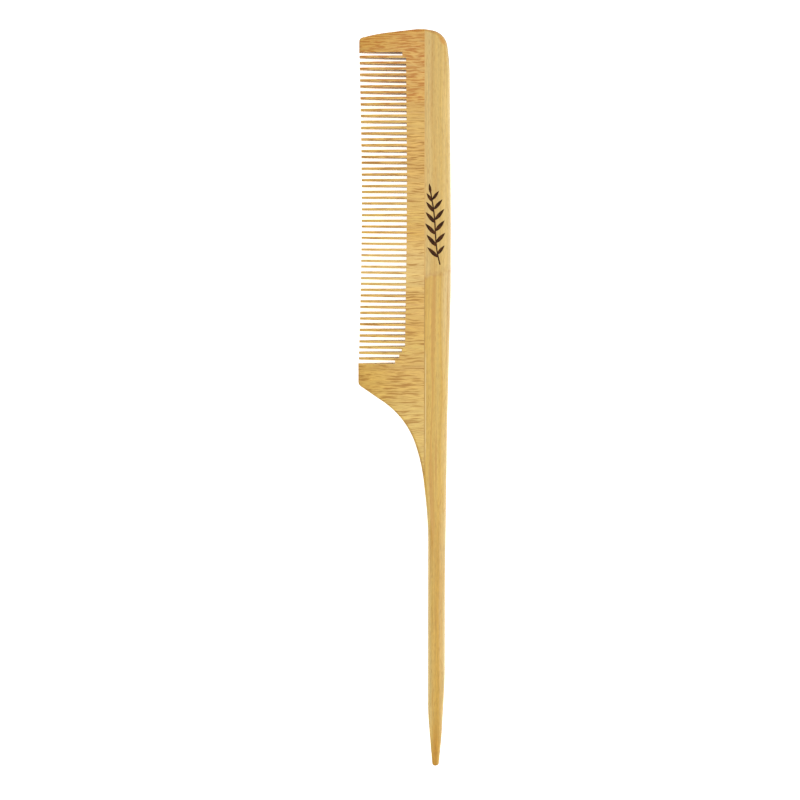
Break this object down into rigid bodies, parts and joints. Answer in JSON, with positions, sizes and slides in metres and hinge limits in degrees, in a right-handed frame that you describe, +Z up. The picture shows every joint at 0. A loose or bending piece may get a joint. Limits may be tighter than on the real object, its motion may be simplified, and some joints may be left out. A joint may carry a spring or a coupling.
{
  "type": "tail comb",
  "caption": "Fine-toothed tail comb of laminated bamboo: a cross-grain tooth board tongued and glued into a straight spine that runs on into a long tapering tail.",
  "frame": {"origin": "centre of the comb's outline, on the plane that it lies on", "axes": "+X towards the spine's back edge with the teeth towards -X, +Y towards the head end with the tail towards -Y, +Z up through the thickness"},
  "size_m": [0.0286, 0.23, 0.006],
  "materials": {
    "spine_bamboo": "fine sanded and waxed, grain lengthwise",
    "tooth_bamboo": "fine sanded and waxed, grain along the teeth",
    "glue": "cured wood glue, seen only as a thin line"
  },
  "bodies": {
    "root": {"spine_handle": "spine_bamboo", "spine_glue_line": "glue", "tooth_slat_1": "tooth_bamboo", "tooth_slat_2": "tooth_bamboo", "tooth_slat_3": "tooth_bamboo", "tooth_slat_4": "tooth_bamboo", "tooth_slat_5": "tooth_bamboo", "tooth_slat_6": "tooth_bamboo", "tooth_slat_7": "tooth_bamboo", "tooth_slat_8": "tooth_bamboo", "slat_glue_line_1": "glue", "slat_glue_line_2": "glue", "slat_glue_line_3": "glue", "slat_glue_line_4": "glue", "slat_glue_line_5": "glue", "slat_glue_line_6": "glue", "slat_glue_line_7": "glue"}
  },
  "joints": []
}
